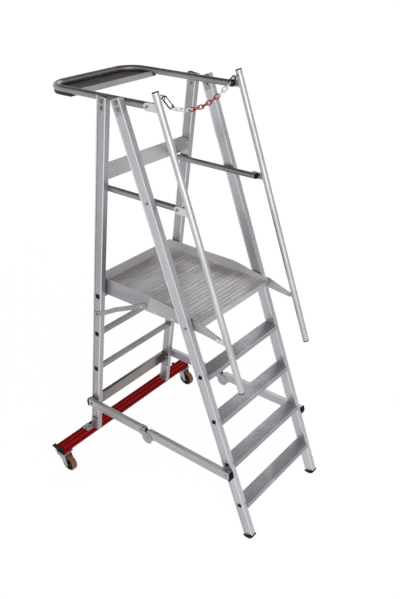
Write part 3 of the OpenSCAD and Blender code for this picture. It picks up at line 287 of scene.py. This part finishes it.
def foot_finish():
    dark, light, dusty = (0.006, 0.006, 0.006), (0.015, 0.015, 0.015), (0.07, 0.066, 0.06)
    dust_height = 0.010
    material, shader, coords = start_finish("foot rubber, dusty")
    grain = noise(coords, 700)
    low_down = axis_of(coords, "Z").between(dust_height, 0.0)
    dust = low_down * noise(coords, 60, 4.0).between(0.35, 0.7)
    colour = blend(dust * 0.4, blend(grain, dark, light), dusty)
    normal = eased_normal(coords, grain, 0.0002, 0.0012)
    end_finish(shader, colour, 0.62 + 0.2 * grain, normal, shine=0.2)
    return material


dress(foot_finish(), "front_feet")

# Sheet and flat-bar pieces: back and bottom boards, side arms, struts and tray bar.
# Mill-finish aluminium with rolling lines along the sheet and a few handling marks.
# All are riveted or bolted to the frame.


def sheet_finish(name, dark, light, marked, dull=0.42):
    material, shader, coords = start_finish(name)
    rolled = streaks(coords, (5, 5, 700))
    cloud = streaks(coords, (4, 4, 4))
    mark = streaks(coords, (30, 30, 160), 2.0).between(0.66, 0.74)
    tone = 0.4 * rolled.between(0.2, 0.8) + 0.6 * cloud.between(0.3, 0.7)
    colour = blend(mark * 0.4, blend(tone, dark, light), marked)
    rough = dull - 0.14 * cloud + 0.1 * mark
    end_finish(shader, colour, rough, eased_normal(coords, rolled, 0.00005, 0.0005), metal=0.85)
    return material


dress(
    sheet_finish(
        "sheet, mill finish",
        dark=(0.43, 0.425, 0.44),
        light=(0.58, 0.57, 0.585),
        marked=(0.72, 0.71, 0.71),
    ),
    "back_board",
    "tray_bar",
)
dress(
    sheet_finish(
        "sheet, side arm",
        dark=(0.36, 0.355, 0.37),
        light=(0.49, 0.48, 0.495),
        marked=(0.64, 0.63, 0.63),
    ),
    "side_arm_left",
    "side_arm_right",
)
# The bottom board takes the sheet's colours much darker: painted shade.
dress(
    sheet_finish(
        "sheet, warm, darkened as painted shade",
        dark=(0.17, 0.147, 0.142),
        light=(0.26, 0.223, 0.217),
        marked=(0.36, 0.32, 0.31),
        dull=0.26,
    ),
    "bottom_board",
)
dress(
    sheet_finish(
        "flat bar, dull",
        dark=(0.27, 0.265, 0.27),
        light=(0.38, 0.37, 0.38),
        marked=(0.5, 0.49, 0.5),
    ),
    "struts",
)

# The toe boards: sheet aluminium round the platform, the side ones painted darker outside as shade and
# lighter inside as painted light.
# Rolling lines run along the sheet, and the tone is cloudy from handling.


def side_board_finish():
    lit_inner_dark, lit_inner_light = (0.62, 0.61, 0.615), (0.84, 0.825, 0.825)
    shaded_outer_dark, shaded_outer_light = (0.27, 0.262, 0.285), (0.39, 0.378, 0.408)
    inner_x, outer_x = 0.2975, 0.2988
    material, shader, coords = start_finish("side board, painted light inside and shade outside")
    rolled = streaks(coords, (5, 5, 700))
    cloud = streaks(coords, (4, 4, 9)).between(0.3, 0.7)
    outside = abs(axis_of(coords, "X")).between(inner_x, outer_x)
    tone = 0.4 * rolled + 0.6 * cloud
    # Inner faces take lit colours and outer faces shaded colours of the one sheet: painted light and
    # painted shade.
    lit_inner = blend(tone, lit_inner_dark, lit_inner_light)
    dull = blend(tone, shaded_outer_dark, shaded_outer_light)
    normal = eased_normal(coords, rolled, 0.00005, 0.0005)
    end_finish(
        shader,
        blend(outside, lit_inner, dull),
        0.42 - 0.12 * cloud,
        normal,
        metal=0.45 + 0.4 * outside,
    )
    return material


dress(side_board_finish(), "side_board_left", "side_board_right", "rear_toe_board")

# The guard rail and mid rails: drawn aluminium tube, darker and smoother than the stiles.
# The guard rail is bent round the platform in one length; drawing lines run along the tubes.


def rail_finish():
    dark, light = (0.23, 0.223, 0.226), (0.40, 0.39, 0.394)
    material, shader, coords = start_finish("rail tube, drawn")
    lines = streaks(coords, (500, 6, 500), 3.0)
    smear = streaks(coords, (14, 5, 14)).between(0.35, 0.7)
    colour = blend(0.6 * lines + 0.4 * smear, dark, light)
    normal = eased_normal(coords, lines, 0.00003, 0)
    end_finish(shader, colour, 0.34 + 0.12 * smear, normal, metal=0.9)
    return material


dress(rail_finish(), "guard_rail", "mid_rails")

# The handrails: bright drawn aluminium tube, rubbed smooth by hands.
# Each is held by three tabs, at the guard rail, the mid rail and the side arm.


def handrail_finish():
    dark, light = (0.46, 0.46, 0.475), (0.59, 0.59, 0.605)
    material, shader, coords = start_finish("handrail tube, bright")
    rubbed = streaks(coords, (20, 20, 2.5)).between(0.3, 0.7)
    lines = streaks(coords, (300, 300, 6), 2.0)
    colour = blend(0.5 * rubbed + 0.5 * lines, dark, light)
    normal = eased_normal(coords, lines, 0.00001, 0)
    end_finish(shader, colour, 0.44 - 0.08 * rubbed, normal, metal=0.9)
    return material


dress(handrail_finish(), "handrail_left", "handrail_right")

# Zinc-plated steel: tabs, brackets, bolts, plates, knee discs and latches, eyes and caster forks.
# The plating has a mottled spangle, cool grey with a trace of yellow.
# The handrail tabs are painted brighter as highlight; the bolts are painted darker than the plates they
# hold, as shade.


def zinc_finish(name, dark, light, yellowed):
    material, shader, coords = start_finish(name)
    cells = coords.add("ShaderNodeTexVoronoi", {}, {"Vector": coords, "Scale": 160}, out="Color")
    spangle = coords.add("ShaderNodeSeparateColor", {}, {"Color": cells}, out=0)
    cloud = noise(coords, 45, 4.0)
    colour = blend(spangle, dark, light)
    colour = blend(cloud.between(0.52, 0.70) * 0.4, colour, yellowed)
    normal = eased_normal(coords, cloud, 0.0001, 0.0006)
    end_finish(shader, colour, 0.34 + 0.16 * spangle, normal, metal=0.9)
    return material


dress(
    zinc_finish(
        "zinc plate, mottled",
        dark=(0.27, 0.285, 0.30),
        light=(0.47, 0.48, 0.485),
        yellowed=(0.41, 0.395, 0.36),
    ),
    "top_plates",
    "foot_brackets",
    "caster_plates",
    "chain_eyes",
    "front_top_plates",
    "caster_fork_left",
    "caster_fork_right",
    "knee_plates_left",
    "knee_plates_right",
    "knee_latch_left",
    "knee_latch_right",
)
# The handrail tabs take brighter zinc colours: painted highlight.
dress(
    zinc_finish(
        "plate brightened as painted highlight, faintly mottled",
        dark=(0.56, 0.56, 0.575),
        light=(0.72, 0.72, 0.73),
        yellowed=(0.66, 0.65, 0.64),
    ),
    "handrail_brackets",
)
# The bolts take darker zinc colours: painted shade.
dress(
    zinc_finish(
        "zinc bolt darkened as painted shade",
        dark=(0.20, 0.205, 0.21),
        light=(0.38, 0.38, 0.38),
        yellowed=(0.32, 0.30, 0.27),
    ),
    "frame_bolts",
    "front_bolts",
)

# The rivets: aluminium blind rivets with domed heads, bright where they were set.
# They hold the boards, side arms, struts and mid rails.


def rivet_finish():
    dark, light = (0.66, 0.66, 0.66), (0.86, 0.86, 0.86)
    material, shader, coords = start_finish("rivet, bright")
    speck = noise(coords, 380)
    normal = eased_normal(coords, speck, 0.00008, 0.0009)
    end_finish(shader, blend(speck, dark, light), 0.24 + 0.2 * speck, normal, metal=0.9)
    return material


dress(rivet_finish(), "frame_rivets")

# The deck planks: ribbed aluminium extrusions laid side by side across the platform.
# Brownish dirt lies in streaks, and the grooves are painted darker as shade.


def deck_finish(front_edge):
    """A painted highlight runs along the front edge of the planks."""
    dark, light = (0.40, 0.388, 0.39), (0.86, 0.83, 0.83)
    brown, groove_shade_grey, painted_edge_highlight = (0.42, 0.335, 0.305), (0.27, 0.255, 0.255), (0.80, 0.755, 0.72)
    rib_top, groove_top = 1.2047, 1.2040
    edge_none, edge_full = front_edge + 0.035, front_edge + 0.005
    material, shader, coords = start_finish("deck plank, worn ribs")
    groove = axis_of(coords, "Z").between(rib_top, groove_top)
    lines = streaks(coords, (4, 700, 700))
    streak = streaks(coords, (2.2, 16, 16))
    worn = streaks(coords, (3.0, 5.5, 3), rough=0.6)
    tone = 0.3 * lines + 0.35 * streak.between(0.3, 0.7) + 0.35 * worn.between(0.38, 0.62)
    colour = blend(tone, dark, light)
    colour = blend(worn.between(0.55, 0.40) * streak.between(0.42, 0.58) * 0.6, colour, brown)
    # Painted shade darkens the grooves.
    colour = blend(groove * 0.25, colour, groove_shade_grey)
    # Painted highlight along the front edge.
    colour = blend(axis_of(coords, "Y").between(edge_none, edge_full) * 0.25, colour, painted_edge_highlight)
    rough = 0.36 + 0.1 * groove + 0.12 * streak
    end_finish(shader, colour, rough, eased_normal(coords, lines, 0.00005), metal=0.55)
    return material


dress(deck_finish(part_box("deck_planks")[0].y), "deck_planks")

# The tool tray: a sheet-steel pan under the bend of the guard rail, turned down at its edge.
# A dark brown coat with a hammered texture covers it; faces that do not face up are painted black as
# shade.


def tray_finish():
    """The pan is brown with dust; where it does not face up, as on the turned-down edge under the rail,
    it is painted black as shade.
    """
    dark, light, black = (0.120, 0.102, 0.090), (0.225, 0.193, 0.170), (0.012, 0.011, 0.011)
    material, shader, coords = start_finish("tray coat, hammered")
    facing = coords.tree.nodes.new("ShaderNodeTexCoord").outputs["Normal"]
    shade_on_sides = axis_of(Socket(coords.tree, facing), "Z").between(0.7, 0.3)
    pits = coords.add(
        "ShaderNodeTexVoronoi",
        {"feature": "SMOOTH_F1"},
        {"Vector": coords, "Scale": 210, "Smoothness": 0.6},
    )
    cloud = streaks(coords, (7, 12, 7))
    # Painted shade: black on every face that does not face up.
    colour = blend(shade_on_sides * 0.9, blend(cloud.between(0.35, 0.7), dark, light), black)
    normal = eased_normal(coords, pits, 0.0012)
    end_finish(shader, colour, 0.45 + 0.2 * cloud, normal, shine=0.3)
    return material


dress(tray_finish(), "tool_tray")

# The crossbar: a grooved aluminium extrusion with a deep red coat, on the plates of the casters.
# The coat is slightly wavy and a little dusty on top.


def red_coat_finish(bar_y, bar_low, bar_high):
    """The grooves along the middle of the sides and the two on top are painted darker as shade."""
    dark, light = (0.30, 0.003, 0.005), (0.42, 0.006, 0.009)
    dusty, groove_shade_red = (0.34, 0.10, 0.09), (0.08, 0.001, 0.002)
    top_groove_y = 0.0145
    groove_none, groove_full = 0.006, 0.005
    material, shader, coords = start_finish("crossbar coat, deep red")
    y, z = axis_of(coords, "Y"), axis_of(coords, "Z")
    wave = noise(coords, 260, 2.0)
    dust = z.between(bar_high - 0.002, bar_high) * streaks(coords, (8, 30, 30))
    below_top = z.between(bar_high - 0.001, bar_high - 0.003)
    top_groove = below_top * abs(abs(y - bar_y) - top_groove_y).between(groove_none, groove_full)
    side_groove = abs(z - (bar_low + bar_high) / 2).between(groove_none, groove_full)
    colour = blend(dust * 0.08, blend(wave, dark, light), dusty)
    # Painted shade darkens the grooves.
    colour = blend(top_groove.larger(side_groove) * 0.65, colour, groove_shade_red)
    normal = eased_normal(coords, wave, 0.00012, 0.0008)
    end_finish(shader, colour, 0.34 + 0.2 * dust, normal, shine=0.03)
    return material


bar_low, bar_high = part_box("crossbar")
dress(red_coat_finish((bar_low.y + bar_high.y) / 2, bar_low.z, bar_high.z), "crossbar")

# The knee braces: rectangular aluminium tube, hinged below its middle on the zinc discs.
# Extrusion lines run along the tube and the knee is rubbed where it turns.


def brace_finish():
    dark, light, rubbed = (0.37, 0.365, 0.385), (0.50, 0.49, 0.515), (0.58, 0.58, 0.59)
    knee_none, knee_full = 0.372, 0.362
    material, shader, coords = start_finish("brace tube, satin")
    lines = streaks(coords, (900, 4, 900))
    cloud = streaks(coords, (5, 3, 5))
    knee = axis_of(coords, "Z").between(knee_none, knee_full)
    colour = blend(knee * 0.3, blend(0.5 * lines + 0.5 * cloud, dark, light), rubbed)
    rough = 0.44 - 0.1 * cloud - 0.06 * knee
    end_finish(shader, colour, rough, eased_normal(coords, lines, 0.0001), metal=0.85)
    return material


dress(
    brace_finish(),
    "brace_rear_left",
    "brace_rear_right",
    "brace_front_left",
    "brace_front_right",
)

# The wheels: an orange-brown polyurethane tyre cast on a black nylon hub, on the fork's axle.
# Grit dulls the tyre, and dust lies on the hub.


def tyre_finish():
    dark, light, gritty = (0.22, 0.072, 0.030), (0.34, 0.118, 0.052), (0.14, 0.07, 0.045)
    material, shader, coords = start_finish("tyre, cast polyurethane")
    grit = noise(coords, 420, 4.0)
    cloud = noise(coords, 55)
    colour = blend(grit.between(0.55, 0.75) * 0.5, blend(cloud, dark, light), gritty)
    normal = eased_normal(coords, grit, 0.0002, 0.001)
    end_finish(shader, colour, 0.48 + 0.25 * grit, normal)
    return material


def hub_finish():
    dark, light, dusty = (0.006, 0.006, 0.007), (0.015, 0.015, 0.016), (0.05, 0.048, 0.045)
    material, shader, coords = start_finish("hub, moulded nylon")
    grain = noise(coords, 900)
    dust = noise(coords, 70, 4.0).between(0.5, 0.75)
    colour = blend(dust * 0.3, blend(grain, dark, light), dusty)
    normal = eased_normal(coords, grain, 0.0001, 0.001)
    end_finish(shader, colour, 0.45 + 0.2 * grain, normal, shine=0.2)
    return material


dress(tyre_finish(), "wheel_tyre_left", "wheel_tyre_right")
dress(hub_finish(), "wheel_hub_left", "wheel_hub_right")

# The brake pedals: dark red moulded plastic, scuffed where shoes press them.
# Each turns between the ears of its caster's fork.


def pedal_finish():
    dark, light, scuffed = (0.06, 0.005, 0.006), (0.10, 0.009, 0.010), (0.17, 0.06, 0.055)
    material, shader, coords = start_finish("pedal, dark red nylon")
    grain = noise(coords, 800)
    scuff = streaks(coords, (120, 60, 60)).between(0.55, 0.72)
    colour = blend(scuff * 0.4, blend(grain, dark, light), scuffed)
    normal = eased_normal(coords, grain, 0.0001, 0.0009)
    end_finish(shader, colour, 0.42 + 0.2 * scuff, normal)
    return material


dress(pedal_finish(), "brake_pedal_left", "brake_pedal_right")

# The chain across the entry: moulded plastic links, white at the ends and red in the middle.
# Handling leaves faint grey scuffs on the plastic.


def link_finish(name, dark, light, scuffed):
    material, shader, coords = start_finish(name)
    cloud = noise(coords, 120)
    scuff = noise(coords, 240, 4.0).between(0.6, 0.74)
    colour = blend(scuff * 0.45, blend(cloud, dark, light), scuffed)
    normal = eased_normal(coords, cloud, 0.0001, 0.0004)
    end_finish(shader, colour, 0.28 + 0.25 * scuff, normal, coat=0.2)
    return material


dress(
    link_finish(
        "chain, white",
        dark=(0.78, 0.78, 0.77),
        light=(0.88, 0.88, 0.87),
        scuffed=(0.6, 0.59, 0.57),
    ),
    "chain_white_links",
)
dress(
    link_finish(
        "chain, red",
        dark=(0.43, 0.014, 0.025),
        light=(0.56, 0.025, 0.04),
        scuffed=(0.34, 0.05, 0.05),
    ),
    "chain_red_links",
)

# The carabiner with its sprung gate and the shackle at the other end of the chain: blackened steel.
# Both hook into the eyes of the handrails, and the black wears off where the steel rubs.


def black_steel_finish():
    black, bare = (0.02, 0.02, 0.023), (0.15, 0.15, 0.155)
    material, shader, coords = start_finish("blackened steel")
    wear = noise(coords, 180, 4.0).between(0.5, 0.72)
    normal = eased_normal(coords, wear, 0.00006, 0.0005)
    end_finish(shader, blend(wear, black, bare), 0.38 - 0.1 * wear, normal, metal=0.8)
    return material


dress(black_steel_finish(), "carabiner", "carabiner_gate")

# The studio: a pale floor, a white surround, a dark ceiling cloth and a grey screen to the right.
# The cloth shades upward faces and the screen the climbing side; the camera sees neither.
# A large soft lamp on the climbing side and a weaker one opposite light the part.


def studio_sheet(name, size, place, shade, turned=(0, 0, 0), seen=True):
    bpy.ops.object.select_all(action="DESELECT")
    bpy.ops.mesh.primitive_plane_add(size=size, location=place, rotation=turned)
    sheet = bpy.context.active_object
    sheet.name = name
    sheet.visible_camera = seen
    bpy.ops.object.transform_apply(location=True, rotation=True)
    material = bpy.data.materials.new(name)
    material.use_nodes = True
    sheet.data.materials.append(material)
    shade(material)


def seen_straight(tree):
    """1 for rays that show the background: from the camera, or mirrored or passed through to it."""
    path = tree.nodes.new("ShaderNodeLightPath").outputs
    camera, glossy, through = [
        Socket(tree, path[ray]) for ray in ("Is Camera Ray", "Is Glossy Ray", "Is Transmission Ray")
    ]
    return camera.larger(glossy).larger(through)


def floor_shade(material):
    tree = material.node_tree
    shader = tree.nodes["Principled BSDF"]
    shader.inputs["Base Color"].default_value = (0.86, 0.86, 0.86, 1)
    shader.inputs["Roughness"].default_value = 0.9
    white = seen_straight(tree)
    glow = white.add("ShaderNodeEmission", {}, {"Color": (1, 1, 1, 1), "Strength": 1.06})
    mixed = white.add(
        "ShaderNodeMixShader",
        {},
        {0: white * 0.9, 1: Socket(tree, shader.outputs[0]), 2: glow},
    )
    tree.links.new(mixed.socket, tree.nodes["Material Output"].inputs["Surface"])


def cloth_shade(grey):
    def shade(material):
        shader = material.node_tree.nodes["Principled BSDF"]
        shader.inputs["Base Color"].default_value = (grey, grey, grey, 1)
        shader.inputs["Roughness"].default_value = 1.0

    return shade


floor_size, ceiling_size, screen_size = 80.0, 8.4, 3.2
ceiling_place, screen_place = (0.6, 0.8, 4.6), (3.2, -3.6, 2.0)
screen_turn = (math.radians(90), 0, math.radians(40))
ceiling_shade, screen_shade = cloth_shade(0.22), cloth_shade(0.8)
studio_sheet("studio_floor", floor_size, (0, 0, -0.001), floor_shade)
studio_sheet("studio_ceiling", ceiling_size, ceiling_place, ceiling_shade, seen=False)
studio_sheet("studio_screen", screen_size, screen_place, screen_shade, screen_turn, seen=False)

world = bpy.data.worlds.new("studio surround")
bpy.context.scene.world = world
world.use_nodes = True
surround_strength = 0.62 + 0.38 * seen_straight(world.node_tree)
sky = world.node_tree.nodes["Background"]
sky.inputs["Color"].default_value = (1, 1, 1, 1)
world.node_tree.links.new(surround_strength.socket, sky.inputs["Strength"])


def soft_lamp(name, place, aim, width, power):
    bpy.ops.object.light_add(type="AREA", location=place)
    lamp = bpy.context.active_object
    lamp.name = name
    lamp.data.shape = "DISK"
    lamp.data.size = width
    lamp.data.energy = power
    lamp.rotation_euler = (Vector(aim) - Vector(place)).to_track_quat("-Z", "Y").to_euler()


soft_lamp("lamp_climbing_side", (-3.4, -3.6, 3.6), aim=(0, 0, 1.0), width=4.8, power=120)
soft_lamp("lamp_far_side", (4.2, 1.6, 3.2), aim=(0, 0, 1.2), width=3.6, power=34)

# The camera stands to the left of the climbing side, above head height, and looks down.
# Its frame is 400 by 599, and the picture's middle lies above the point it looks at.

image_height = 599
focal_pixels = 689.545
middle_offset = 29.186
camera_place = Vector((-2.53939, -2.07986, 2.95065))
turn = math.radians(51.350)
tilt = math.radians(31.560)
roll = math.radians(-0.379)
forward = Vector((math.sin(turn), math.cos(turn), 0))
ahead = forward * math.cos(tilt) - Vector((0, 0, math.sin(tilt)))
level = Vector((math.cos(turn), -math.sin(turn), 0))
upright = level.cross(ahead)
right = level * math.cos(roll) + upright * math.sin(roll)
up = upright * math.cos(roll) - level * math.sin(roll)
pose = Matrix((right, up, -ahead)).transposed()
bpy.ops.object.camera_add(location=camera_place, rotation=pose.to_euler())
camera = bpy.context.active_object
camera.data.sensor_width = 36.0
camera.data.lens = focal_pixels * camera.data.sensor_width / image_height
camera.data.shift_y = middle_offset / image_height
bpy.context.scene.camera = camera
bpy.context.scene.view_settings.view_transform = "Standard"

bpy.context.view_layer.update()
